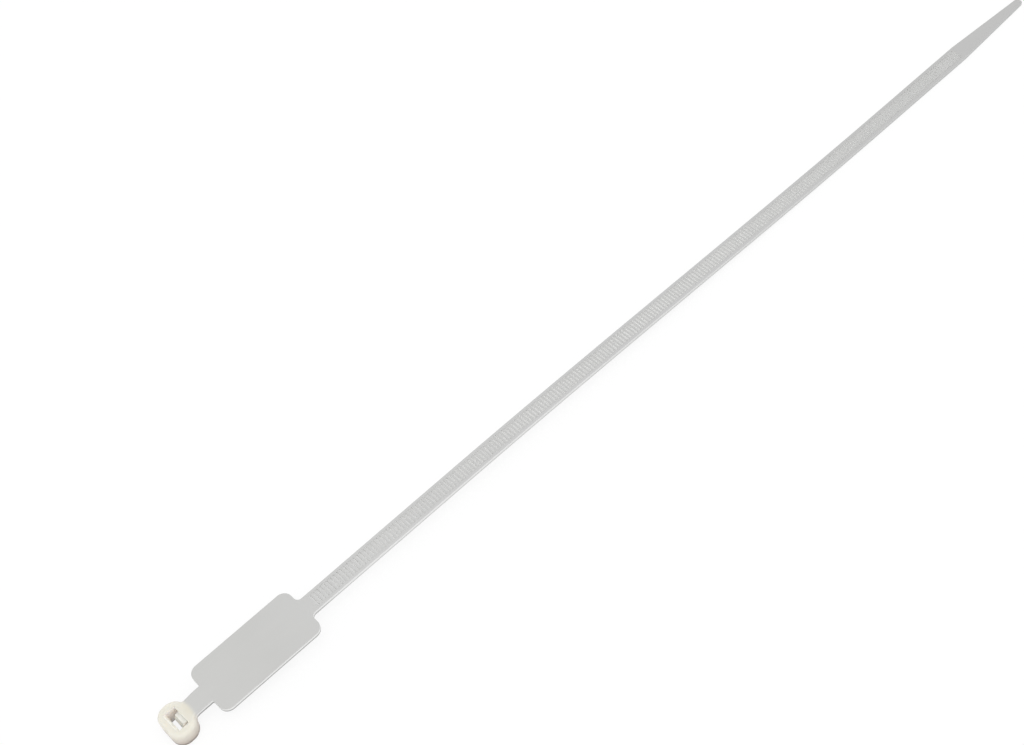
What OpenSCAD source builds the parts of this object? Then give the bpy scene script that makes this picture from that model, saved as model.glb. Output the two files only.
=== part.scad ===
// One-piece moulded nylon cable tie with a writing plate beside its head.
// It lies as it comes to rest, teeth up: the head stands on its exit face and the strap
// sinks in a long S to the tail, which lies flat.
// X runs along the strap from head to tip, Y runs across it and Z is up.
// The origin is the middle of the tie's outline, at the height of the surface it lies on.

/* [Strap] */
// Width of the strap
strap_w = 5; // [4:0.1:5.6]
// Thickness of the strap over its rails
strap_t = 1.5; // [1.3:0.05:1.8]
// Length of the neck between the head and the plate
neck_l = 4.95; // [3:0.05:12]

/* [Teeth] */
// Number of teeth along the strap
tooth_count = 232; // [140:1:260]
// Distance from one tooth to the next
tooth_pitch = 1; // [0.9:0.05:1.2]
// Depth of the gap between two teeth
tooth_depth = 0.45; // [0.3:0.05:0.6]
// Length of the flat top of a tooth
tooth_land = 0.3; // [0.1:0.05:0.5]
// Depth of the tooth tops below the rails
tooth_sink = 0.1; // [0.05:0.05:0.2]
// Width of the plain rail on each side of the teeth
rail_w = 0.75; // [0.4:0.05:1]
// Plain stretch between the plate and the first tooth
plain_l = 2.2; // [1:0.1:6]

/* [Writing plate] */
// Length of the plate along the strap
plate_l = 28.2; // [20:0.1:40]
// Width of the plate across the strap
plate_w = 14.2; // [9:0.1:20]
// Thickness of the plate
plate_t = 1.4; // [0.8:0.05:1.5]
// Radius of the plate's corners
plate_r = 2.3; // [0.5:0.1:3]
// Radius of the fillet where the toothed strap leaves the plate
plate_fillet_r = 1.2; // [0.4:0.1:1.6]
// Length over which the strap's underside rises to the thinner plate
plate_ramp_l = 1.5; // [0.5:0.1:4]

/* [Head] */
// Length of the head along the strap
head_l = 6.7; // [6.5:0.05:9]
// Width of the head across the strap
head_w = 9.3; // [8.2:0.1:12]
// Height of the head from its exit face to its entry face
head_h = 4.7; // [4.2:0.05:6.5]
// Radius of the head's corners at its far end, seen from above
far_r = 2.9; // [1:0.1:3.1]
// Radius of the head's shoulders beside the strap, seen from above
shoulder_r = 3.2; // [2:0.1:3.4]
// Radius of the fillets where the shoulders run into the neck
shoulder_fillet_r = 0.8; // [0.4:0.05:1.2]
// Rounding of the edges round the exit face
exit_edge_r = 0.75; // [0.3:0.05:1]
// Rounding of the edges round the entry face
entry_edge_r = 0.75; // [0.2:0.05:0.9]
// Radius of the fillet under the neck, in front of the head
root_fillet_r = 1; // [0.4:0.05:1.2]

/* [Passage and pawl] */
// Thickness of the far end wall behind the passage
far_wall = 2.3; // [1.8:0.05:2.8]
// Side clearance of the strap in the passage, both sides together
passage_side_play = 0.3; // [0.2:0.05:0.5]
// Room that the entry leaves beyond the thickness of the strap
entry_play = 0.95; // [0.3:0.05:1]
// Length of the guide slope cut into the far wall at the entry
guide_l = 0.7; // [0.3:0.05:1]
// Depth of the guide slope below the entry face
guide_d = 1.3; // [0.6:0.05:2]
// Width of the bevels at both sides of the entry
bevel = 0.25; // [0.1:0.05:0.4]
// Clear gap between the far wall and the tips of the pawl's teeth
slot_gap = 1; // [0.6:0.05:1.05]
// Depth of the pawl's top below the entry face
pawl_drop = 1.1; // [0.7:0.05:1.3]
// Thickness of the pawl behind its teeth
pawl_t = 0.7; // [0.5:0.05:0.8]
// Number of teeth on the pawl
pawl_teeth = 2; // [1:1:2]
// Height of the pawl's plain lip above its first tooth
pawl_lip = 0.4; // [0.2:0.05:0.6]
// Thickness of the living hinge that carries the pawl
hinge_t = 0.55; // [0.35:0.05:0.7]
// Side clearance between the pawl and the rails of the strap, on each side
pawl_side_play = 0.1; // [0.05:0.05:0.3]
// Room behind the pawl when the strap has pushed it fully back
pawl_back_play = 0.1; // [0.05:0.05:0.2]

/* [Tail] */
// Length of the plain tail from the last tooth to the tip
tail_l = 28.4; // [20:0.1:45]
// Length of the stretch that narrows to the tip
taper_l = 27.4; // [10:0.1:28]
// Width of the rounded tip
tip_w = 2.3; // [1:0.1:3]
// Thickness of the strap at the tip
tip_t = 1; // [0.8:0.05:1.2]

/* [Lie of the strap] */
// Length that stays level with the head, past the plate
level_l = 46; // [20:1:60]
// Length at the tail end that lies flat
flat_l = 60; // [45:1:70]

/* [Hidden] */
$fn = 48;

// Stations along the strap, from the head's far end
plate_x = head_l + neck_l;
plate_end = plate_x + plate_l;
teeth_x = plate_end + plain_l;
teeth_end = teeth_x + tooth_count * tooth_pitch;
total_l = teeth_end + tail_l;
taper_x = total_l - taper_l;

// Where the strap starts to sink, how far it runs until it lies flat, and how much it drops
sink_x = plate_end + level_l;
sink_l = total_l - flat_l - sink_x;
drop = head_h - strap_t;

// The strap's side view is drawn in straight runs of about this length
run_l = 4;
sink_steps = ceil(sink_l / run_l);

// Passage, seen from the side: the slope, the pawl's face and the walls come from these
passage_w = strap_w + passage_side_play;
entry_end = far_wall + strap_t + entry_play;
tooth_bite = tooth_depth - pawl_side_play / 2;
pawl_face = far_wall + slot_gap + tooth_bite;
pawl_back = pawl_face + pawl_t;
relief_end = far_wall + strap_t + tooth_bite + pawl_t + pawl_back_play;
root_x = (relief_end + head_l) / 2;
channel_w = strap_w - 2 * rail_w;
pawl_w = channel_w - 2 * pawl_side_play;
pawl_top = head_h - pawl_drop;
pawl_bottom = pawl_top - pawl_lip - pawl_teeth * tooth_pitch;

// Small overlap that makes cuts run clear of a face
eps = 0.5;
nylon = [0.91, 0.91, 0.87];

// Height of the strap's top face, x mm from the head's far end
function ease(q) = q * q * (3 - 2 * q);
function sunk(x) = ease(min(1, max(0, (x - sink_x) / sink_l)));
function top_z(x) = head_h - drop * sunk(x);

// A drawing in X and Z, given its width across the strap
module across(width) {
    rotate([90, 0, 0])
        linear_extrude(height = width, center = true)
            children();
}

// Side view of the strap, from its root inside the head's near wall to the tip
module strap_side() {
    sink_xs = [for (i = [0 : sink_steps]) sink_x + sink_l * i / sink_steps];
    top = [
        [root_x, head_h],
        for (x = sink_xs) [x, top_z(x)],
        [taper_x, strap_t],
        [total_l, tip_t]
    ];
    under = [
        [total_l, 0],
        for (i = [sink_steps : -1 : 0]) [sink_xs[i], top_z(sink_xs[i]) - strap_t],
        [plate_end, head_h - strap_t],
        [plate_end - plate_ramp_l, head_h - plate_t],
        [plate_x + plate_ramp_l, head_h - plate_t],
        [plate_x, head_h - strap_t],
        [root_x, head_h - strap_t]
    ];
    polygon(concat(top, under));
}

// Outline of the strap from above, narrowing to a rounded tip
module strap_plan() {
    tip_r = tip_w / 2;
    lean = atan((strap_w - tip_w) / 2 / taper_l);
    tip_x = total_l - tip_r;
    touch = [tip_x + tip_r * sin(lean), tip_r * cos(lean)];
    polygon([
        [root_x, -strap_w / 2],
        [taper_x, -strap_w / 2],
        [touch.x, -touch.y],
        touch,
        [taper_x, strap_w / 2],
        [root_x, strap_w / 2]
    ]);
    translate([tip_x, 0])
        circle(r = tip_r);
}

module strap() {
    intersection() {
        across(2 * strap_w)
            strap_side();
        translate([0, 0, -eps])
            linear_extrude(height = head_h + 2 * eps)
                strap_plan();
    }
}

// Side view of what is cut away above the teeth: a steep face towards the head, a flat top
// and a ramp towards the tip on each tooth
module tooth_gaps_side() {
    floor_points = [
        for (i = [0 : tooth_count - 1])
            let (
                x = teeth_x + i * tooth_pitch,
                tip = top_z(x) - tooth_sink,
                low = tip - tooth_depth
            )
            each [[x, low], [x, tip], [x + tooth_land, top_z(x + tooth_land) - tooth_sink]]
    ];
    first = [teeth_x - tooth_pitch + tooth_land, head_h - tooth_sink];
    last_low = [teeth_end, top_z(teeth_end) - tooth_sink - tooth_depth];
    above = [[teeth_end, head_h + eps], [first.x, head_h + eps]];
    polygon(concat([first], floor_points, [last_low], above));
}

module tooth_gaps() {
    across(channel_w)
        tooth_gaps_side();
}

// Outline of the plate from above, with its rounded corners
module plate_plan() {
    long = [plate_l - 2 * plate_r, plate_w];
    wide = [plate_l, plate_w - 2 * plate_r];
    translate([plate_x + plate_l / 2, 0]) {
        square(long, center = true);
        square(wide, center = true);
        for (sx = [-1, 1], sy = [-1, 1])
            translate([sx * long.x / 2, sy * wide.y / 2])
                circle(r = plate_r);
    }
}

// Fillet between the plate's end and one edge of the toothed strap
module plate_fillet_plan() {
    r = plate_fillet_r;
    translate([plate_end, strap_w / 2])
        difference() {
            translate([-eps, -eps])
                square([r + eps, r + eps]);
            translate([r, r])
                circle(r = r);
        }
}

module plate() {
    translate([0, 0, head_h - plate_t])
        linear_extrude(height = plate_t) {
            plate_plan();
            plate_fillet_plan();
            mirror([0, 1])
                plate_fillet_plan();
        }
}

// Edge view of the head, from its middle out to one side: rounded at both faces
module head_edge(reach) {
    difference() {
        square([reach, head_h]);
        translate([reach, 0])
            mirror([1, 0])
                corner_cut(exit_edge_r);
        translate([reach, head_h])
            rotate(180)
                corner_cut(entry_edge_r);
    }
}

// What a rounding of radius r takes off a corner at the origin
module corner_cut(r) {
    difference() {
        translate([-eps, -eps])
            square(r + eps);
        translate([r, r])
            circle(r = r);
    }
}

// One upright corner of the head, round from above
module head_corner(x, y, r) {
    translate([x, y, 0])
        rotate_extrude()
            head_edge(r);
}

module head_block() {
    half = head_w / 2;
    near_x = head_l - shoulder_r;
    translate([far_r, 0, 0])
        rotate([90, 0, 90])
            linear_extrude(height = near_x - far_r) {
                head_edge(half);
                mirror([1, 0])
                    head_edge(half);
            }
    across(head_w - 2 * far_r)
        translate([far_r, 0])
            mirror([1, 0])
                head_edge(far_r);
    across(head_w - 2 * shoulder_r)
        translate([near_x, 0])
            head_edge(shoulder_r);
    for (side = [-1, 1]) {
        head_corner(far_r, side * (half - far_r), far_r);
        head_corner(near_x, side * (half - shoulder_r), shoulder_r);
    }
}

// Fillet between one shoulder and the neck, tangent to both, seen from above
module shoulder_fillet_plan() {
    r = shoulder_fillet_r;
    hub = [head_l - shoulder_r, head_w / 2 - shoulder_r];
    rise = strap_w / 2 + r - hub.y;
    centre = hub + [sqrt((shoulder_r + r) ^ 2 - rise ^ 2), rise];
    difference() {
        polygon([hub, centre, [centre.x, hub.y]]);
        translate(centre)
            circle(r = r);
    }
}

// Side view of the fillet under the neck
module root_fillet_side() {
    r = root_fillet_r;
    translate([head_l, head_h - strap_t])
        mirror([0, 1])
            difference() {
                translate([-eps, -eps])
                    square([r + eps, r + eps]);
                translate([r, r])
                    circle(r = r);
            }
}

module neck_root() {
    translate([0, 0, head_h - strap_t])
        linear_extrude(height = strap_t) {
            shoulder_fillet_plan();
            mirror([0, 1])
                shoulder_fillet_plan();
        }
    across(strap_w)
        root_fillet_side();
}

// Side view of the passage: guide slope at the far wall and the relief behind the pawl
module passage_side() {
    hinge_under = pawl_top - hinge_t;
    polygon([
        [far_wall, -eps],
        [far_wall, head_h - guide_d],
        [far_wall - guide_l, head_h],
        [far_wall - guide_l, head_h + eps],
        [entry_end, head_h + eps],
        [entry_end, hinge_under],
        [relief_end, hinge_under],
        [relief_end, -eps]
    ]);
}

// End view of the entry, widened by a bevel at each side
module entry_bevels() {
    half = passage_w / 2;
    polygon([
        [-half, head_h - bevel],
        [half, head_h - bevel],
        [half + bevel, head_h],
        [half + bevel, head_h + eps],
        [-half - bevel, head_h + eps],
        [-half - bevel, head_h]
    ]);
}

module passage() {
    across(passage_w)
        passage_side();
    translate([far_wall - guide_l, 0, 0])
        rotate([90, 0, 90])
            linear_extrude(height = guide_l + entry_end - far_wall)
                entry_bevels();
}

// Side view of the pawl: it hangs from its hinge, and each tooth has a ramp above and a
// flat face below
module pawl_side() {
    lip_z = pawl_top - pawl_lip;
    teeth = [
        for (i = [0 : pawl_teeth - 1])
            let (z = lip_z - i * tooth_pitch)
            each [[pawl_face, z], [pawl_face - tooth_bite, z - tooth_pitch + tooth_land],
                  [pawl_face - tooth_bite, z - tooth_pitch], [pawl_face, z - tooth_pitch]]
    ];
    wall_x = (entry_end + head_l) / 2;
    polygon(concat(
        [[wall_x, pawl_top - hinge_t], [wall_x, pawl_top], [pawl_face, pawl_top]],
        teeth,
        [[pawl_back, pawl_bottom], [entry_end, pawl_top - hinge_t]]
    ));
}

module pawl() {
    across(pawl_w)
        pawl_side();
}

// The whole tie is one moulding
module cable_tie() {
    color(nylon)
        translate([-total_l / 2, 0, 0]) {
            difference() {
                union() {
                    head_block();
                    neck_root();
                    strap();
                    plate();
                }
                passage();
                tooth_gaps();
            }
            pawl();
        }
}

cable_tie();
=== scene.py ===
"""Looks of a one-piece moulded nylon cable tie with a writing plate beside its head."""

import math

import bmesh
import bpy
from mathutils import Matrix, Vector


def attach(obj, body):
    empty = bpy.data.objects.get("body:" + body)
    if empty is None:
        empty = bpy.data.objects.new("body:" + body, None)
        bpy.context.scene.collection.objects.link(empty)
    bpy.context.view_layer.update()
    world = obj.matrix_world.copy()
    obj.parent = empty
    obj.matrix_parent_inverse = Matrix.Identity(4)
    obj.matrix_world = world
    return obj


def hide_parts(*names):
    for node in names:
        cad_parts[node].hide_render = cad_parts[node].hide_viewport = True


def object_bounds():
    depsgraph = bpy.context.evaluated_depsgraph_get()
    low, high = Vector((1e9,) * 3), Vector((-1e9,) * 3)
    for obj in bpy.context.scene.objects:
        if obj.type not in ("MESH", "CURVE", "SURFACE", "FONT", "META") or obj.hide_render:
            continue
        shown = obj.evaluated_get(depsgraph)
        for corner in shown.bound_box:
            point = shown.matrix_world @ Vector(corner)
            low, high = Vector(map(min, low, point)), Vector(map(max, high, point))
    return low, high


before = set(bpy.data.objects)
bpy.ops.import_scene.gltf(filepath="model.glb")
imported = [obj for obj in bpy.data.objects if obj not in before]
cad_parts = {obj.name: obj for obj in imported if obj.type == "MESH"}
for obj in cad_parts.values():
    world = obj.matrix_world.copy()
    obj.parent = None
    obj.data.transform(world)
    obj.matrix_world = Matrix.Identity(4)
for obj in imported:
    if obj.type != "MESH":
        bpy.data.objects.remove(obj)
cad_low, cad_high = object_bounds()

# Sizes of the moulding, in millimetres
MM = 0.001
STRAP_W = 5.0
STRAP_T = 1.5
NECK_L = 4.95
TOOTH_PITCH = 1.0
TOOTH_DEPTH = 0.45
TOOTH_LAND = 0.3
TOOTH_SINK = 0.1
RAIL_W = 0.75
PLAIN_L = 2.2
PLATE_L = 28.2
PLATE_T = 1.4
PLATE_R = 2.3
PLATE_FILLET_R = 1.2
PLATE_RAMP_L = 1.5
HEAD_L = 6.7
HEAD_W = 9.3
FAR_R = 2.9
SHOULDER_R = 3.2
SHOULDER_FILLET_R = 0.8
ROOT_FILLET_R = 1.0
EXIT_EDGE_R = 0.75
ENTRY_EDGE_R = 0.75
FAR_WALL = 2.3
PASSAGE_W = 5.3
ENTRY_PLAY = 0.95
GUIDE_L = 0.7
GUIDE_D = 1.3
BEVEL = 0.25
SLOT_GAP = 1.0
PAWL_DROP = 1.1
PAWL_T = 0.7
PAWL_TEETH = 2
PAWL_LIP = 0.4
PAWL_W = 3.3
TOOTH_BITE = 0.4
HINGE_T = 0.55
PAWL_BACK_PLAY = 0.1
TAIL_L = 28.4
TAPER_L = 27.4
TIP_W = 2.3
TIP_T = 1.0
LEVEL_L = 46.0
FLAT_L = 60.0

# Roundings that the mould leaves on the long edges, and the lip of the tooth channel
TOP_EDGE_R = 0.15
UNDER_EDGE_R = 0.4
CHANNEL_LIP = 0.08
NECK_CORNER_R = 0.3

# Run of the neck over which the head's rim eases off to the strap's sharper edge
RIM_EASE_L = 3.5
# Where the strip starts inside the head's wall, and where the channel starts before the first tooth
ROOT_COVER = 0.4
ROOT_INSET = 0.2
CHANNEL_START = 0.02
# Softening of the head's edges, held back by Blender where edges lie close; more steps than three
# make edges shared by four faces at the pawl's notch
HEAD_SOFT_R = 0.07
HEAD_SOFT_STEPS = 3

# How far a tooth reaches under the channel's floor and into its walls, and its worn edges
TOOTH_ROOT = 0.05
TOOTH_SIDE = 0.04
TOOTH_EDGE = 0.04
TOOTH_WORN = 0.03

# Overall sizes, read from the frame
TOTAL_L = (cad_high.x - cad_low.x) / MM
HEAD_H = (cad_high.z - cad_low.z) / MM
PLATE_W = (cad_high.y - cad_low.y) / MM

# Stations along the tie, from the head's far end
PLATE_X = HEAD_L + NECK_L
PLATE_END = PLATE_X + PLATE_L
TEETH_X = PLATE_END + PLAIN_L
TEETH_END = TOTAL_L - TAIL_L
TOOTH_COUNT = round((TEETH_END - TEETH_X) / TOOTH_PITCH)
CHANNEL_X = TEETH_X + CHANNEL_START
CHANNEL_W = STRAP_W - 2 * RAIL_W
TAPER_X = TOTAL_L - TAPER_L
SINK_X = PLATE_END + LEVEL_L
SINK_L = TOTAL_L - FLAT_L - SINK_X
ENTRY_END = FAR_WALL + STRAP_T + ENTRY_PLAY
PAWL_FACE = FAR_WALL + SLOT_GAP + TOOTH_BITE
RELIEF_END = FAR_WALL + STRAP_T + TOOTH_BITE + PAWL_T + PAWL_BACK_PLAY
ROOT_X = RELIEF_END + ROOT_COVER
PAWL_TOP = HEAD_H - PAWL_DROP
PAWL_BOTTOM = PAWL_TOP - PAWL_LIP - PAWL_TEETH * TOOTH_PITCH

# Round front of the creamy colour on the neck
CREAM_X = 0.1
CREAM_R = 7.4
CREAM_BLUR = 0.6

# Tones of the thin strap from the head's end at 0 to the tip at 1: its faces, the flat tops of its teeth
# in painted shade and their roots in painted light, and the upper part of its narrow sides in painted
# light and the lower part in painted shade
FACE_TONES = [(0.0, "c5c5c3"), (0.09, "c1c1bf"), (0.17, "c5c5c4"), (0.55, "bfbfbf"), (1.0, "b7b7b6")]
LAND_PAINTED_SHADE_TONES = [(0.18, "c6c6c5"), (0.33, "bfbfbe"), (0.5, "bbbbba"), (0.85, "bfbfbe")]
ROOT_PAINTED_LIGHT_TONES = [(0.18, "e6e6e5"), (0.5, "f0f0ef"), (0.85, "e5e5e4")]
SIDE_PAINTED_LIGHT_TONES = [(0.14, "e9e9e8"), (0.5, "dededd"), (0.8, "c6c6c5"), (1.0, "bebebd")]
SIDE_PAINTED_SHADE_TONES = [(0.035, "8c8c8a"), (0.045, "a6a6a4"), (0.13, "a6a6a4"), (0.16, "c6c6c5"),
                   (0.5, "c6c6c5"), (1.0, "b4b4b4")]
# Tones of the thick head: its faces, and its sides from the bottom at 0 to the top at 1, in painted
# shade towards the foot
HEAD_FACE = "dedbd0"
HEAD_SIDE_PAINTED_SHADE_TONES = [(0.17, "8a8179"), (0.33, "c4bab0"), (0.6, "d3cdc4"), (0.85, "dcd8cd")]

# Steps of the drawing, in millimetres and in arc points
STATION_L = 1.5
ARC_STEPS = 10
EDGE_STEPS = 5
CUTTER_OVER = 0.5

# Edges above these angles, in degrees, stay sharp
SHARP_ANGLE = 38
SKIN_ANGLE = 25
TOOTH_ANGLE = 20

# Clouds and grain of the nylon, in repeats per metre, and how much the clouds lighten and darken
CLOUD_SCALE = 180.0
GRAIN_SCALE = 8000.0
CLOUD_SHARE = 0.03

# Share of the floor seen as plain white, and strength of the soft light from all round
FLOOR_WHITE = 0.87
SURROUND_LIGHT = 0.85


def place(x, y, z):
    """A point of the tie, x mm from the head's far end, in the frame's metres."""
    return Vector((cad_low.x + x * MM, y * MM, cad_low.z + z * MM))


def ease(q):
    """Smooth step from nought to one."""
    q = min(1.0, max(0.0, q))
    return q * q * (3 - 2 * q)


def top_z(x):
    """Height of the strap's top face."""
    return HEAD_H - (HEAD_H - STRAP_T) * ease((x - SINK_X) / SINK_L)


def ramp(x, points):
    """Straight-line reading of a list of (x, value) pairs."""
    for (x0, v0), (x1, v1) in zip(points, points[1:]):
        if x <= x1:
            return v0 + (v1 - v0) * min(1.0, max(0.0, (x - x0) / (x1 - x0)))
    return points[-1][1]


def under_z(x):
    """Height of the strap's smooth underside."""
    t = ramp(x, [
        (PLATE_X, STRAP_T),
        (PLATE_X + PLATE_RAMP_L, PLATE_T),
        (PLATE_END - PLATE_RAMP_L, PLATE_T),
        (PLATE_END, STRAP_T),
    ])
    fillet = max(0.0, HEAD_L + ROOT_FILLET_R - x)
    if fillet > 0:
        fillet = min(fillet, ROOT_FILLET_R)
        t += ROOT_FILLET_R - math.sqrt(ROOT_FILLET_R ** 2 - fillet ** 2)
    return top_z(x) - t


def tip_top_z(x):
    """Height of the top face, which also slopes down along the tapering tail."""
    return top_z(x) - (STRAP_T - TIP_T) * min(1.0, max(0.0, (x - TAPER_X) / TAPER_L))


def arc(cx, cy, r, start, end, outward, steps=ARC_STEPS):
    """Points (x, y, normal x, normal y) of an arc between two angles in degrees."""
    points = []
    for i in range(steps + 1):
        a = math.radians(start + (end - start) * i / steps)
        c, s = math.cos(a), math.sin(a)
        points.append((cx + r * c, cy + r * s, c * outward, s * outward))
    return points


def run(x0, y0, x1, y1, steps):
    """Points inside a straight run, without its ends."""
    length = math.hypot(x1 - x0, y1 - y0)
    nx, ny = -(y1 - y0) / length, (x1 - x0) / length
    return [
        (x0 + (x1 - x0) * i / steps, y0 + (y1 - y0) * i / steps, nx, ny)
        for i in range(1, steps)
    ]


def steps_for(length):
    """Number of stations along a length in millimetres."""
    return max(1, math.ceil(length / STATION_L))


def left_edge():
    """Left edge of the moulding seen from above, from the head's wall to the tip."""
    half = STRAP_W / 2
    plate_half = PLATE_W / 2
    hub_x, hub_y = HEAD_L - SHOULDER_R, HEAD_W / 2 - SHOULDER_R
    r = SHOULDER_FILLET_R
    rise = half + r - hub_y
    shoulder_x = hub_x + math.sqrt((SHOULDER_R + r) ** 2 - rise ** 2)
    towards_hub = math.degrees(math.atan2(-rise, hub_x - shoulder_x)) + 360
    corner_x = PLATE_X - NECK_CORNER_R
    corner_y = half + NECK_CORNER_R
    fillet_x = PLATE_END + PLATE_FILLET_R
    fillet_y = half + PLATE_FILLET_R
    tip_r = TIP_W / 2
    lean = math.degrees(math.atan((STRAP_W - TIP_W) / 2 / TAPER_L))
    tip_x = TOTAL_L - tip_r

    shoulder = arc(shoulder_x, half + r, r, towards_hub, 270, -1)
    edge = [(ROOT_X, half - ROOT_INSET, 0, 1)]
    edge += shoulder
    edge += run(shoulder_x, half, corner_x, half, 2 * steps_for(corner_x - shoulder_x))
    edge += arc(corner_x, corner_y, NECK_CORNER_R, 270, 360, -1, 4)
    edge += arc(PLATE_X + PLATE_R, plate_half - PLATE_R, PLATE_R, 180, 90, 1)
    edge += run(PLATE_X + PLATE_R, plate_half, PLATE_END - PLATE_R, plate_half,
                steps_for(PLATE_L - 2 * PLATE_R))
    edge += arc(PLATE_END - PLATE_R, plate_half - PLATE_R, PLATE_R, 90, 0, 1)
    edge += arc(fillet_x, fillet_y, PLATE_FILLET_R, 180, 270, -1)
    edge += [(CHANNEL_X, half, 0, 1)]
    edge += run(CHANNEL_X, half, TEETH_END, half, steps_for(TEETH_END - CHANNEL_X))
    edge += [(TEETH_END, half, 0, 1)]
    edge += run(TEETH_END, half, TAPER_X, half, steps_for(TAPER_X - TEETH_END))
    edge += [(TAPER_X, half, 0, 1)]
    tip = arc(tip_x, 0, tip_r, 90 - lean, 0, 1)
    edge += run(TAPER_X, half, tip[0][0], tip[0][1], steps_for(TAPER_L))
    edge += tip
    return edge


def rim_r(x):
    """Rounding of the long top edge: the head's rim at the shoulder, easing off along the neck."""
    return ENTRY_EDGE_R + (TOP_EDGE_R - ENTRY_EDGE_R) * ease((x - HEAD_L) / RIM_EASE_L)


def edge_profile(r):
    """Rounded side of the strip: (inset, depth below the top, height above the underside)."""
    rings = []
    for i in range(EDGE_STEPS + 1):
        a = math.pi / 2 * i / EDGE_STEPS
        rings.append((r * (1 - math.sin(a)), r * (1 - math.cos(a)), None))
    for i in range(EDGE_STEPS + 1):
        a = math.pi / 2 * i / EDGE_STEPS
        rings.append((UNDER_EDGE_R * (1 - math.cos(a)), None, UNDER_EDGE_R * (1 - math.sin(a))))
    return rings


def columns(edge, insets):
    """Groups the edge's points that share one station, for the flat faces between the sides."""
    groups = []
    for i, ((x, y, nx, ny), inset) in enumerate(zip(edge, insets)):
        sx, sy = x - nx * inset, y - ny * inset
        if groups and abs(groups[-1][-1][1] - sx) < 1e-4:
            groups[-1].append((i, sx, sy))
        else:
            groups.append([(i, sx, sy)])
    return groups


def side_of_face(group, at):
    """Points of one station that bound a face: the one at the side and those nearer the middle."""
    edge_y = group[at][2]
    inner = [p[0] for p in group if p[2] < edge_y - 1e-6]
    inner.sort(key=lambda i: -[p[2] for p in group if p[0] == i][0])
    return [group[at][0]] + inner


def strap_strip():
    """Neck, plate, toothed strap and tail as one closed mesh with rounded edges."""
    edge = left_edge()
    profiles = [edge_profile(rim_r(point[0])) for point in edge]
    bm = bmesh.new()
    left, right = [], []
    for k in range(len(profiles[0])):
        row_l, row_r = [], []
        for (x, y, nx, ny), profile in zip(edge, profiles):
            inset, down, up = profile[k]
            sx, sy = x - nx * inset, y - ny * inset
            z = tip_top_z(sx) - down if up is None else under_z(sx) + up
            row_l.append(bm.verts.new(place(sx, sy, z)))
            at_tip = abs(sy) < 1e-6
            row_r.append(row_l[-1] if at_tip else bm.verts.new(place(sx, -sy, z)))
        left.append(row_l)
        right.append(row_r)
    for k in range(len(left) - 1):
        for i in range(len(edge) - 1):
            face(bm, left[k][i], left[k][i + 1], left[k + 1][i + 1], left[k + 1][i])
            face(bm, right[k][i], right[k + 1][i], right[k + 1][i + 1], right[k][i + 1])
        face(bm, right[k][0], left[k][0], left[k + 1][0], right[k + 1][0])
    channel = channel_sides(bm, edge, left[0], right[0])
    top_face(bm, edge, left[0], right[0], channel)
    flat_faces(bm, edge, left[-1], right[-1])
    return finished_mesh("strap_strip", bm)


def face(bm, *verts):
    """Adds a face, leaving out repeated points."""
    kept = [v for i, v in enumerate(verts) if v is not verts[i - 1]]
    if len(set(kept)) > 2:
        bm.faces.new(kept)


def channel_sides(bm, edge, left, right):
    """Lip, wall and floor points of the tooth channel at each station that it covers."""
    half = CHANNEL_W / 2
    made = {}
    for i, (x, y, nx, ny) in enumerate(edge):
        if not CHANNEL_X - 1e-6 <= x <= TEETH_END + 1e-6 or abs(ny - 1) > 1e-6:
            continue
        z = tip_top_z(x)
        levels = [
            (half + CHANNEL_LIP, z),
            (half, z - CHANNEL_LIP),
            (half, z - TOOTH_SINK - TOOTH_DEPTH),
        ]
        made[i] = [[bm.verts.new(place(x, side * y_, z_)) for y_, z_ in levels] for side in (1, -1)]
    return made


def top_face(bm, edge, left, right, channel):
    """Top faces: plain across the plate and tail, and rails beside the open channel."""
    groups = columns(edge, [rim_r(point[0]) for point in edge])
    for a, b in zip(groups, groups[1:]):
        ia, ib = side_of_face(a, -1), side_of_face(b, 0)
        if ia[0] in channel and ib[0] in channel:
            la, ra = channel[ia[0]]
            lb, rb = channel[ib[0]]
            face(bm, left[ia[0]], la[0], lb[0], left[ib[0]])
            face(bm, right[ia[0]], right[ib[0]], rb[0], ra[0])
            for k in range(2):
                face(bm, la[k], la[k + 1], lb[k + 1], lb[k])
                face(bm, ra[k], rb[k], rb[k + 1], ra[k + 1])
            face(bm, la[2], ra[2], rb[2], lb[2])
            continue
        start = [left[i] for i in ia]
        start += [channel[ia[0]][0][0], channel[ia[0]][1][0]] if ia[0] in channel else []
        start += [right[i] for i in reversed(ia)]
        end = [right[i] for i in ib]
        end += [channel[ib[0]][1][0], channel[ib[0]][0][0]] if ib[0] in channel else []
        end += [left[i] for i in reversed(ib)]
        face(bm, *start, *end)
    for i in (min(channel), max(channel)):
        l, r = channel[i]
        face(bm, l[0], l[1], l[2], r[2], r[1], r[0])


def flat_faces(bm, edge, left, right):
    """Plain faces from side to side, for the smooth underside."""
    groups = columns(edge, [UNDER_EDGE_R] * len(edge))
    for a, b in zip(groups, groups[1:]):
        ia, ib = side_of_face(a, -1), side_of_face(b, 0)
        start = [left[i] for i in ia] + [right[i] for i in reversed(ia)]
        end = [right[i] for i in ib] + [left[i] for i in reversed(ib)]
        face(bm, *start, *end)


def finished_mesh(name, bm, angle=SHARP_ANGLE):
    """Closes a mesh, points its faces outwards and keeps its sharp edges sharp."""
    bmesh.ops.remove_doubles(bm, verts=bm.verts, dist=1e-7)
    bmesh.ops.dissolve_degenerate(bm, edges=bm.edges, dist=1e-8)
    bmesh.ops.recalc_face_normals(bm, faces=bm.faces)
    mesh = bpy.data.meshes.new(name)
    bm.to_mesh(mesh)
    bm.free()
    return shown(name, mesh, angle)


def shown(name, mesh, angle):
    """Puts a mesh in the scene, smooth but for edges above an angle in degrees, if one is given."""
    if angle:
        mesh.shade_smooth()
        mesh.set_sharp_from_angle(angle=math.radians(angle))
    piece = bpy.data.objects.new(name, mesh)
    bpy.context.scene.collection.objects.link(piece)
    return piece


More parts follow.
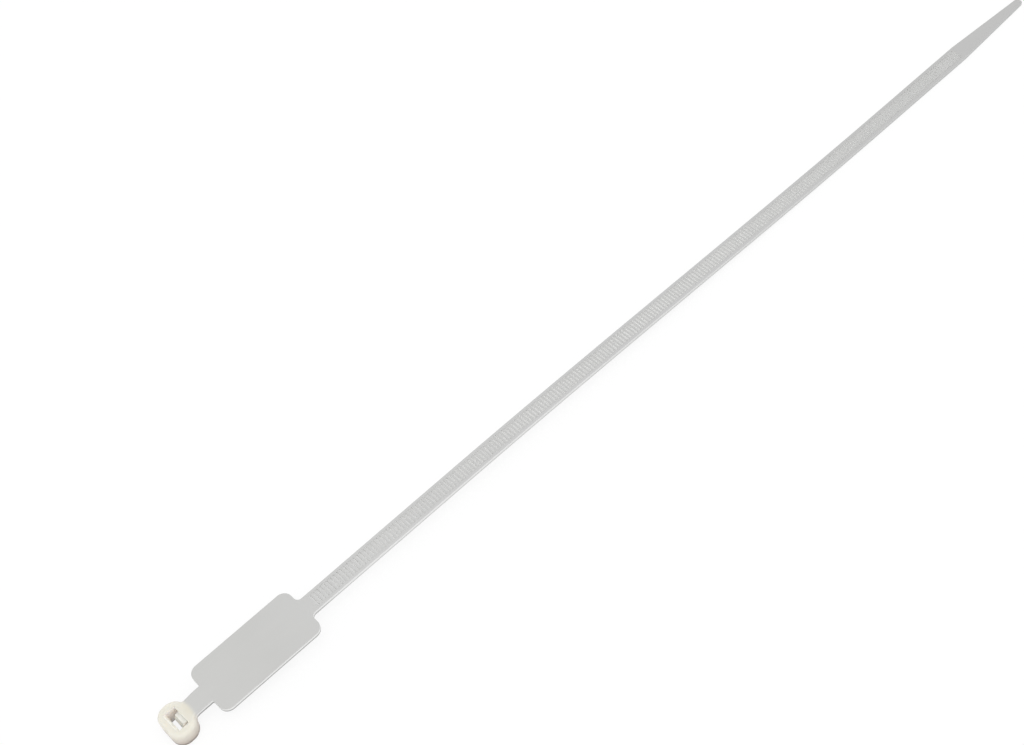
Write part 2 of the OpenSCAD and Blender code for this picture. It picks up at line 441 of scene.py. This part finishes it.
def baked(piece, name, angle=SHARP_ANGLE):
    """A piece with its modifiers applied, as a plain mesh."""
    graph = bpy.context.evaluated_depsgraph_get()
    mesh = bpy.data.meshes.new_from_object(piece.evaluated_get(graph))
    mesh.name = name
    bpy.data.objects.remove(piece)
    return shown(name, mesh, angle)


def boolean(piece, other, operation):
    """Joins another mesh to a piece, or cuts it out, once the piece is baked."""
    cut = piece.modifiers.new("boolean", "BOOLEAN")
    cut.object = other
    cut.operation = operation
    cut.solver = "EXACT"


def drum_outline():
    """Outline of the head seen from above, as (x, y) hubs, radii and angles of its corners."""
    half = HEAD_W / 2
    corners = [
        (HEAD_L - SHOULDER_R, half - SHOULDER_R, SHOULDER_R, 0, 90),
        (FAR_R, half - FAR_R, FAR_R, 90, 180),
        (FAR_R, FAR_R - half, FAR_R, 180, 270),
        (HEAD_L - SHOULDER_R, SHOULDER_R - half, SHOULDER_R, 270, 360),
    ]
    outline = []
    for cx, cy, r, start, end in corners:
        outline += arc(cx, cy, r, start, end, 1, 2 * ARC_STEPS)
    return outline


def head_drum():
    """Outer body of the head, with rounded edges at both faces."""
    outline = drum_outline()
    levels = []
    for i in range(EDGE_STEPS + 2):
        a = math.pi / 2 * i / (EDGE_STEPS + 1)
        levels.append((EXIT_EDGE_R * (1 - math.sin(a)), EXIT_EDGE_R * (1 - math.cos(a))))
    for i in range(EDGE_STEPS + 2):
        a = math.pi / 2 * i / (EDGE_STEPS + 1)
        levels.append((ENTRY_EDGE_R * (1 - math.cos(a)), HEAD_H - ENTRY_EDGE_R * (1 - math.sin(a))))
    bm = bmesh.new()
    rows = [
        [bm.verts.new(place(x - nx * inset, y - ny * inset, z)) for x, y, nx, ny in outline]
        for inset, z in levels
    ]
    count = len(outline)
    for low, high in zip(rows, rows[1:]):
        for i in range(count):
            j = (i + 1) % count
            bm.faces.new((low[i], low[j], high[j], high[i]))
    bm.faces.new(list(reversed(rows[0])))
    bm.faces.new(rows[-1])
    return finished_mesh("head_drum", bm)


def prism(name, profile, width, across=True):
    """A closed bar of a drawn side view: across the strap, or along it from one end."""
    bm = bmesh.new()
    ends = []
    for side in (-1, 1):
        if across:
            ends.append([bm.verts.new(place(u, side * width / 2, v)) for u, v in profile])
        else:
            along = width[0] if side < 0 else width[1]
            ends.append([bm.verts.new(place(along, u, v)) for u, v in profile])
    count = len(profile)
    for i in range(count):
        j = (i + 1) % count
        bm.faces.new((ends[0][i], ends[0][j], ends[1][j], ends[1][i]))
    bm.faces.new(ends[0])
    bm.faces.new(list(reversed(ends[1])))
    return finished_mesh(name, bm)


def passage_cutter():
    """The room for the strap through the head, with its guide slope and the space behind the pawl."""
    hinge_under = PAWL_TOP - HINGE_T
    return prism("passage_cutter", [
        (FAR_WALL, -CUTTER_OVER),
        (FAR_WALL, HEAD_H - GUIDE_D),
        (FAR_WALL - GUIDE_L, HEAD_H),
        (FAR_WALL - GUIDE_L, HEAD_H + CUTTER_OVER),
        (ENTRY_END, HEAD_H + CUTTER_OVER),
        (ENTRY_END, hinge_under),
        (RELIEF_END, hinge_under),
        (RELIEF_END, -CUTTER_OVER),
    ], PASSAGE_W)


def entry_cutter():
    """The bevels at both sides of the passage's entry."""
    half = PASSAGE_W / 2
    return prism("entry_cutter", [
        (-half, HEAD_H - BEVEL),
        (half, HEAD_H - BEVEL),
        (half + BEVEL, HEAD_H),
        (half + BEVEL, HEAD_H + CUTTER_OVER),
        (-half - BEVEL, HEAD_H + CUTTER_OVER),
        (-half - BEVEL, HEAD_H),
    ], (FAR_WALL - GUIDE_L, ENTRY_END), across=False)


def pawl():
    """The pawl on its living hinge, with a ramp above and a flat below each tooth."""
    profile = [
        ((ENTRY_END + HEAD_L) / 2, PAWL_TOP - HINGE_T),
        ((ENTRY_END + HEAD_L) / 2, PAWL_TOP),
        (PAWL_FACE, PAWL_TOP),
    ]
    lip_z = PAWL_TOP - PAWL_LIP
    for i in range(PAWL_TEETH):
        z = lip_z - i * TOOTH_PITCH
        profile += [
            (PAWL_FACE, z),
            (PAWL_FACE - TOOTH_BITE, z - TOOTH_PITCH + TOOTH_LAND),
            (PAWL_FACE - TOOTH_BITE, z - TOOTH_PITCH),
            (PAWL_FACE, z - TOOTH_PITCH),
        ]
    profile += [(PAWL_FACE + PAWL_T, PAWL_BOTTOM), (ENTRY_END, PAWL_TOP - HINGE_T)]
    return prism("pawl", profile, PAWL_W)


def head():
    """The head: drum, passage, entry bevels and pawl, with small roundings on every edge."""
    drum = head_drum()
    cutters = [passage_cutter(), entry_cutter()]
    for cutter in cutters:
        boolean(drum, cutter, "DIFFERENCE")
    ratchet = pawl()
    boolean(drum, ratchet, "UNION")
    soften = drum.modifiers.new("soften", "BEVEL")
    soften.width = HEAD_SOFT_R * MM
    soften.segments = HEAD_SOFT_STEPS
    soften.limit_method = "ANGLE"
    soften.angle_limit = math.radians(SHARP_ANGLE)
    made = baked(drum, "head")
    for used in cutters + [ratchet]:
        bpy.data.objects.remove(used)
    return made


def add_node(tree, kind, settings=None, links=None):
    """Adds a node, sets its attributes and sockets, and links sockets to other outputs."""
    node = tree.nodes.new(kind)
    for name, value in (settings or {}).items():
        if isinstance(name, str) and hasattr(node, name):
            setattr(node, name, value)
        else:
            node.inputs[name].default_value = value
    for name, output in (links or {}).items():
        tree.links.new(output, node.inputs[name])
    return node


def tooth_mesh():
    """One tooth: a steep face towards the head, a flat top and a ramp towards the tip."""
    profile = [
        (0.0, -TOOTH_ROOT),
        (0.0, TOOTH_DEPTH - TOOTH_EDGE),
        (TOOTH_EDGE, TOOTH_DEPTH),
        (TOOTH_LAND - TOOTH_WORN, TOOTH_DEPTH),
        (TOOTH_LAND + TOOTH_EDGE, TOOTH_DEPTH - TOOTH_WORN),
        (TOOTH_PITCH + 2 * TOOTH_EDGE, -TOOTH_ROOT),
    ]
    bm = bmesh.new()
    half = CHANNEL_W / 2 + TOOTH_SIDE
    ends = [
        [bm.verts.new((u * MM, side * half * MM, v * MM)) for u, v in profile]
        for side in (-1, 1)
    ]
    count = len(profile)
    for i in range(count):
        j = (i + 1) % count
        bm.faces.new((ends[0][i], ends[0][j], ends[1][j], ends[1][i]))
    bm.faces.new(ends[0])
    bm.faces.new(list(reversed(ends[1])))
    return finished_mesh("tooth", bm, TOOTH_ANGLE)


def channel_floor_line():
    """The line along the middle of the channel's floor that the teeth stand on."""
    bm = bmesh.new()
    points = []
    count = steps_for(TEETH_END - TEETH_X)
    for i in range(count + 1):
        x = TEETH_X + (TEETH_END - TEETH_X) * i / count
        points.append(bm.verts.new(place(x, 0, top_z(x) - TOOTH_SINK - TOOTH_DEPTH)))
    for a, b in zip(points, points[1:]):
        bm.edges.new((a, b))
    mesh = bpy.data.meshes.new("teeth_line")
    bm.to_mesh(mesh)
    bm.free()
    line = bpy.data.objects.new("strap_teeth", mesh)
    bpy.context.scene.collection.objects.link(line)
    return line


def teeth_tree(material):
    """Sets a tooth at each pitch along a line, turned to follow it."""
    tree = bpy.data.node_groups.new("teeth along the strap", "GeometryNodeTree")
    sockets = tree.interface
    sockets.new_socket("Geometry", in_out="INPUT", socket_type="NodeSocketGeometry")
    sockets.new_socket("Tooth", in_out="INPUT", socket_type="NodeSocketObject")
    sockets.new_socket("Tooth count", in_out="INPUT", socket_type="NodeSocketInt")
    sockets.new_socket("Geometry", in_out="OUTPUT", socket_type="NodeSocketGeometry")
    start = tree.nodes.new("NodeGroupInput")
    path = add_node(tree, "GeometryNodeMeshToCurve", links={"Mesh": start.outputs["Geometry"]})
    one_more = add_node(tree, "FunctionNodeIntegerMath", {"operation": "ADD", 1: 1},
                        {0: start.outputs["Tooth count"]})
    even = add_node(tree, "GeometryNodeResampleCurve", {"mode": "COUNT"},
                    {"Curve": path.outputs["Curve"], "Count": one_more.outputs[0]})
    tangent = add_node(tree, "GeometryNodeInputTangent")
    turn = add_node(tree, "FunctionNodeAlignRotationToVector", {"axis": "X", "pivot_axis": "Y"},
                    {"Vector": tangent.outputs["Tangent"]})
    index = add_node(tree, "GeometryNodeInputIndex")
    kept = add_node(tree, "FunctionNodeCompare", {"data_type": "INT", "operation": "LESS_THAN"},
                    {2: index.outputs["Index"], 3: start.outputs["Tooth count"]})
    tooth = add_node(tree, "GeometryNodeObjectInfo", links={"Object": start.outputs["Tooth"]})
    row = add_node(tree, "GeometryNodeInstanceOnPoints", links={
        "Points": even.outputs["Curve"],
        "Selection": kept.outputs["Result"],
        "Instance": tooth.outputs["Geometry"],
        "Rotation": turn.outputs["Rotation"],
    })
    real = add_node(tree, "GeometryNodeRealizeInstances", links={"Geometry": row.outputs["Instances"]})
    dressed = add_node(tree, "GeometryNodeSetMaterial", {"Material": material},
                       {"Geometry": real.outputs["Geometry"]})
    end = tree.nodes.new("NodeGroupOutput")
    tree.links.new(dressed.outputs["Geometry"], end.inputs["Geometry"])
    return tree


def strap_teeth(material):
    """The whole row of teeth as one plain mesh."""
    line = channel_floor_line()
    tooth = tooth_mesh()
    tree = teeth_tree(material)
    row = line.modifiers.new("teeth", "NODES")
    row.node_group = tree
    values = {"Tooth": tooth, "Tooth count": TOOTH_COUNT}
    for item in tree.interface.items_tree:
        if item.in_out == "INPUT" and item.name in values:
            row[item.identifier] = values[item.name]
    made = baked(line, "strap_teeth", TOOTH_ANGLE)
    bpy.data.objects.remove(tooth)
    return made


def linear(hex_colour):
    """sRGB hex to linear RGBA."""
    parts = [int(hex_colour[i:i + 2], 16) / 255 for i in (0, 2, 4)]
    bright = [c / 12.92 if c <= 0.04045 else ((c + 0.055) / 1.055) ** 2.4 for c in parts]
    return (*bright, 1.0)


def natural_nylon():
    """Injection-moulded natural nylon 6/6: milky and see-through when thin, creamy when thick,
    with the fine satin grain of a spark-eroded mould."""
    material = bpy.data.materials.new("moulded_natural_nylon")
    material.use_nodes = True
    tree = material.node_tree
    tree.nodes.clear()
    inputs = add_node(tree, "ShaderNodeTexCoord")
    spot = inputs.outputs["Object"]
    # The thick head looks creamy as far as a round front on the neck, the thin strap looks grey
    from_head = add_node(tree, "ShaderNodeVectorMath", {
        "operation": "DISTANCE", 1: place(CREAM_X, 0, HEAD_H / 2),
    }, {0: spot})
    thick = add_node(tree, "ShaderNodeMapRange", {
        "interpolation_type": "SMOOTHSTEP",
        "From Min": (CREAM_R + CREAM_BLUR) * MM,
        "From Max": (CREAM_R - CREAM_BLUR) * MM,
    }, {"Value": from_head.outputs["Value"]})
    # Milky clouding of the melt, a few millimetres across and drawn out along the strap
    drawn = add_node(tree, "ShaderNodeMapping", {"Scale": (0.35, 1.0, 1.0)}, {"Vector": spot})
    cloud = add_node(tree, "ShaderNodeTexNoise", {
        "Scale": CLOUD_SCALE, "Detail": 3.0, "Roughness": 0.55,
    }, {"Vector": drawn.outputs["Vector"]})
    # The strap's narrow sides carry painted light, standing in for the scattered light that they gather,
    # and painted shade near the underside
    place_on = add_node(tree, "ShaderNodeSeparateXYZ", links={"Vector": spot})
    along = add_node(tree, "ShaderNodeMapRange", {
        "From Min": cad_low.x, "From Max": cad_high.x,
    }, {"Value": place_on.outputs["X"]}).outputs["Result"]
    height = add_node(tree, "ShaderNodeAttribute", {"attribute_name": "side_height"})
    lower_side_shade_mask = add_node(tree, "ShaderNodeMapRange", {"From Min": 0.6, "From Max": 0.4},
                    {"Value": height.outputs["Fac"]})
    side_painted_light_and_shade = mixed(tree, lower_side_shade_mask.outputs["Result"], ramped(tree, along, SIDE_PAINTED_LIGHT_TONES),
                        ramped(tree, along, SIDE_PAINTED_SHADE_TONES))
    facing = add_node(tree, "ShaderNodeSeparateXYZ", links={"Vector": inputs.outputs["Normal"]})
    upright = add_node(tree, "ShaderNodeMath", {"operation": "ABSOLUTE"}, {0: facing.outputs["Z"]})
    sideways = add_node(tree, "ShaderNodeMapRange", {"From Min": 0.5, "From Max": 0.25},
                        {"Value": upright.outputs[0]})
    # Painted light at the root of each tooth and on its steep face, standing in for light that comes
    # through the web, against painted shade on the teeth's flat tops
    gap = add_node(tree, "ShaderNodeAttribute", {"attribute_name": "tooth_gap"})
    toothed = add_node(tree, "ShaderNodeMapRange", {"From Min": -0.8, "From Max": -0.2},
                       {"Value": gap.outputs["Fac"]}).outputs["Result"]
    root_painted_light = ramped(tree, along, ROOT_PAINTED_LIGHT_TONES)
    teeth_painted_light_and_shade = mixed(tree, gap.outputs["Fac"], ramped(tree, along, LAND_PAINTED_SHADE_TONES), root_painted_light)
    face_colour = mixed(tree, toothed, ramped(tree, along, FACE_TONES), teeth_painted_light_and_shade)
    side_painted_light_and_shade = mixed(tree, toothed, side_painted_light_and_shade, root_painted_light)
    thin_colour = mixed(tree, sideways.outputs["Result"], face_colour, side_painted_light_and_shade)
    # Painted shade on the head's sides: dark at the foot and pale towards the rim
    rise = add_node(tree, "ShaderNodeMapRange", {
        "From Min": cad_low.z, "From Max": cad_high.z,
    }, {"Value": place_on.outputs["Z"]})
    level = add_node(tree, "ShaderNodeMapRange", {
        "interpolation_type": "SMOOTHSTEP", "From Min": 0.6, "From Max": 0.98,
    }, {"Value": upright.outputs[0]})
    head_side_painted_shade = ramped(tree, rise.outputs["Result"], HEAD_SIDE_PAINTED_SHADE_TONES)
    thick_colour = mixed(tree, level.outputs["Result"], head_side_painted_shade, HEAD_FACE)
    # Painted light in the passage, standing in for light that comes in from all round, least on the wall
    # that faces the near side, which gets painted shade
    near = add_node(tree, "ShaderNodeMapRange", {"From Min": -0.4, "From Max": -0.8},
                    {"Value": facing.outputs["Y"]})
    thick_colour = mixed(tree, in_passage(tree, spot), thick_colour,
                         mixed(tree, near.outputs["Result"], "fdf9ec", "f0e9e6"))
    colour = mixed(tree, thick.outputs["Result"], thin_colour, thick_colour)
    clouded = add_node(tree, "ShaderNodeMapRange", {
        "To Min": 1 - CLOUD_SHARE, "To Max": 1 + CLOUD_SHARE,
    }, {"Value": cloud.outputs["Fac"]})
    colour = add_node(tree, "ShaderNodeVectorMath", {"operation": "SCALE"},
                      {"Vector": colour, "Scale": clouded.outputs["Result"]}).outputs["Vector"]
    # Grain of the mould, about 0.12 mm across
    grain = add_node(tree, "ShaderNodeTexNoise", {"Scale": GRAIN_SCALE, "Detail": 2.0}, {"Vector": spot})
    bump = add_node(tree, "ShaderNodeBump", {"Strength": 0.12, "Distance": 0.00002},
                    {"Height": grain.outputs["Fac"]})
    milky = add_node(tree, "ShaderNodeMath", {"operation": "MULTIPLY", 1: 0.9},
                     {0: thick.outputs["Result"]})
    rough = add_node(tree, "ShaderNodeMapRange", {"To Min": 0.38, "To Max": 0.5},
                     {"Value": cloud.outputs["Fac"]})
    skin = add_node(tree, "ShaderNodeBsdfPrincipled", {
        "IOR": 1.53,
        "Subsurface Radius": (1.0, 0.95, 0.9),
        "Subsurface Scale": 0.003,
    }, {
        "Subsurface Weight": milky.outputs[0],
        "Base Color": colour,
        "Roughness": rough.outputs["Result"],
        "Normal": bump.outputs["Normal"],
    })
    add_node(tree, "ShaderNodeOutputMaterial", links={"Surface": skin.outputs["BSDF"]})
    return material


def ramped(tree, factor, tones):
    """Colour ramp through (place, sRGB hex) pairs."""
    ramp_node = add_node(tree, "ShaderNodeValToRGB", links={"Fac": factor})
    stops = ramp_node.color_ramp.elements
    while len(stops) < len(tones):
        stops.new(1.0)
    for stop, (at, tone) in zip(stops, tones):
        stop.position = at
        stop.color = linear(tone)
    return ramp_node.outputs["Color"]


def in_passage(tree, spot):
    """One inside the box that the head's passage takes up, and nought outside it."""
    low = place(FAR_WALL - GUIDE_L - 0.05, -PASSAGE_W / 2 - 0.05, -0.5)
    high = place(RELIEF_END + 0.05, PASSAGE_W / 2 + 0.05, HEAD_H - 0.05)
    middle = add_node(tree, "ShaderNodeVectorMath", {"operation": "SUBTRACT", 1: (low + high) / 2},
                      {0: spot})
    away = add_node(tree, "ShaderNodeVectorMath", {"operation": "ABSOLUTE"}, {0: middle.outputs[0]})
    over = add_node(tree, "ShaderNodeVectorMath", {"operation": "SUBTRACT", 1: (high - low) / 2},
                    {0: away.outputs[0]})
    parts = add_node(tree, "ShaderNodeSeparateXYZ", links={"Vector": over.outputs[0]})
    most = add_node(tree, "ShaderNodeMath", {"operation": "MAXIMUM"},
                    {0: parts.outputs["X"], 1: parts.outputs["Y"]})
    most = add_node(tree, "ShaderNodeMath", {"operation": "MAXIMUM"},
                    {0: most.outputs[0], 1: parts.outputs["Z"]})
    return add_node(tree, "ShaderNodeMapRange", {"From Min": 0.03 * MM, "From Max": -0.03 * MM},
                    {"Value": most.outputs[0]}).outputs["Result"]


def mixed(tree, factor, first, second):
    """Mixes two colours, each an sRGB hex or another node's output."""
    settings = {"data_type": "RGBA"}
    links = {"Factor": factor}
    for socket, colour in ((6, first), (7, second)):
        if isinstance(colour, str):
            settings[socket] = linear(colour)
        else:
            links[socket] = colour
    return add_node(tree, "ShaderNodeMix", settings, links).outputs[2]


def moulding(material):
    """The whole tie as the mould makes it: strip, head and teeth in one skin."""
    strip = strap_strip()
    parts = [head(), strap_teeth(material)]
    for part in parts:
        boolean(strip, part, "UNION")
    strip.modifiers[-1].use_self = True
    made = baked(strip, "cable_tie_moulding", SKIN_ANGLE)
    for part in parts:
        bpy.data.objects.remove(part)
    flat = made.modifiers.new("flat_faces", "WEIGHTED_NORMAL")
    flat.keep_sharp = True
    made = baked(made, "cable_tie_moulding", None)
    mark_depths(made.data)
    made.data.materials.clear()
    made.data.materials.append(material)
    return made


def mark_depths(mesh):
    """Marks each point with its place across the strap's thickness: nought underneath, one on top;
    and with its depth between the teeth: nought on their tops, one at the roots, minus one elsewhere."""
    side = mesh.attributes.new("side_height", "FLOAT", "POINT")
    gap = mesh.attributes.new("tooth_gap", "FLOAT", "POINT")
    reach = CHANNEL_W / 2 + 0.01
    for vertex, height, depth in zip(mesh.vertices, side.data, gap.data):
        x = (vertex.co.x - cad_low.x) / MM
        y = vertex.co.y / MM
        z = (vertex.co.z - cad_low.z) / MM
        height.value = min(1.0, max(0.0, (z - under_z(x)) / STRAP_T))
        down = top_z(x) - z
        if CHANNEL_X < x < TEETH_END + 0.1 and abs(y) < reach and down < 2 * TOOTH_DEPTH:
            depth.value = min(1.0, max(0.0, (down - TOOTH_SINK) / TOOTH_DEPTH))
        else:
            depth.value = -1.0


def seen_directly(tree):
    """One for rays from the camera, a mirror or a clear body, and nought for lighting rays."""
    path = add_node(tree, "ShaderNodeLightPath")
    value = path.outputs["Is Camera Ray"]
    for ray in ("Is Glossy Ray", "Is Transmission Ray"):
        value = add_node(tree, "ShaderNodeMath", {"operation": "MAXIMUM"}, {
            0: value, 1: path.outputs[ray],
        }).outputs[0]
    return value


def pale_floor():
    """A large white floor at the height that the tie lies on."""
    size = 4.0
    mesh = bpy.data.meshes.new("floor")
    z = cad_low.z
    corners = [(-size, -size, z), (size, -size, z), (size, size, z), (-size, size, z)]
    mesh.from_pydata(corners, [], [(0, 1, 2, 3)])
    floor = bpy.data.objects.new("floor", mesh)
    bpy.context.scene.collection.objects.link(floor)
    material = bpy.data.materials.new("white_paper")
    material.use_nodes = True
    tree = material.node_tree
    tree.nodes.clear()
    seen = seen_directly(tree)
    shade = add_node(tree, "ShaderNodeMath", {"operation": "MULTIPLY", 1: FLOOR_WHITE}, {0: seen})
    paper = add_node(tree, "ShaderNodeBsdfDiffuse", {"Color": linear("ffffff")})
    white = add_node(tree, "ShaderNodeEmission", {"Color": (1, 1, 1, 1), "Strength": 1.0})
    both = add_node(tree, "ShaderNodeMixShader", links={
        0: shade.outputs[0], 1: paper.outputs["BSDF"], 2: white.outputs[0],
    })
    add_node(tree, "ShaderNodeOutputMaterial", links={"Surface": both.outputs[0]})
    mesh.materials.append(material)


def white_world():
    """A white surround: full white to the camera, plain soft light on the tie."""
    world = bpy.data.worlds.new("white_surround")
    bpy.context.scene.world = world
    world.use_nodes = True
    tree = world.node_tree
    tree.nodes.clear()
    seen = seen_directly(tree)
    light = add_node(tree, "ShaderNodeBackground", {
        "Color": (1, 1, 1, 1), "Strength": SURROUND_LIGHT,
    })
    white = add_node(tree, "ShaderNodeBackground", {"Color": (1, 1, 1, 1), "Strength": 1.0})
    both = add_node(tree, "ShaderNodeMixShader", links={
        0: seen, 1: light.outputs[0], 2: white.outputs[0],
    })
    add_node(tree, "ShaderNodeOutputWorld", links={"Surface": both.outputs[0]})


def lamp(name, azimuth, elevation, distance, size, power):
    """A soft square lamp that looks at the middle of the tie."""
    data = bpy.data.lights.new(name, "AREA")
    data.size = size
    data.energy = power
    a, e = math.radians(azimuth), math.radians(elevation)
    back = Vector((math.sin(a) * math.cos(e), -math.cos(a) * math.cos(e), math.sin(e)))
    lit = bpy.data.objects.new(name, data)
    lit.location = back * distance
    lit.rotation_mode = "QUATERNION"
    lit.rotation_quaternion = (-back).to_track_quat("-Z", "Y")
    bpy.context.scene.collection.objects.link(lit)


def camera():
    """Close view from the near left of the head, with the strap running away to the right."""
    azimuth, elevation, roll = (math.radians(d) for d in (-34.4, 53.0, -11.55))
    distance = 0.4088
    target = Vector((-0.0329, 0.015, 0.0))
    back = Vector((
        math.sin(azimuth) * math.cos(elevation),
        -math.cos(azimuth) * math.cos(elevation),
        math.sin(elevation),
    ))
    right = (-back).cross(Vector((0, 0, 1))).normalized()
    up = right.cross(-back)
    turned = Matrix((
        right * math.cos(roll) + up * math.sin(roll),
        up * math.cos(roll) - right * math.sin(roll),
        back,
    )).transposed()
    data = bpy.data.cameras.new("camera")
    data.lens = 58.12
    data.sensor_width = 36.0
    data.clip_start = 0.01
    data.clip_end = 20.0
    eye = bpy.data.objects.new("camera", data)
    eye.matrix_world = Matrix.Translation(target + back * distance) @ turned.to_4x4()
    bpy.context.scene.collection.objects.link(eye)
    bpy.context.scene.camera = eye


camera()
pale_floor()
white_world()
lamp("key_lamp", -50, 70, 1.3, 1.0, 3.5)
lamp("fill_lamp", 70, 60, 1.5, 1.2, 1.5)

tie = moulding(natural_nylon())
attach(tie, "root")
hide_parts("cable_tie")

bpy.context.scene.view_settings.view_transform = "Standard"
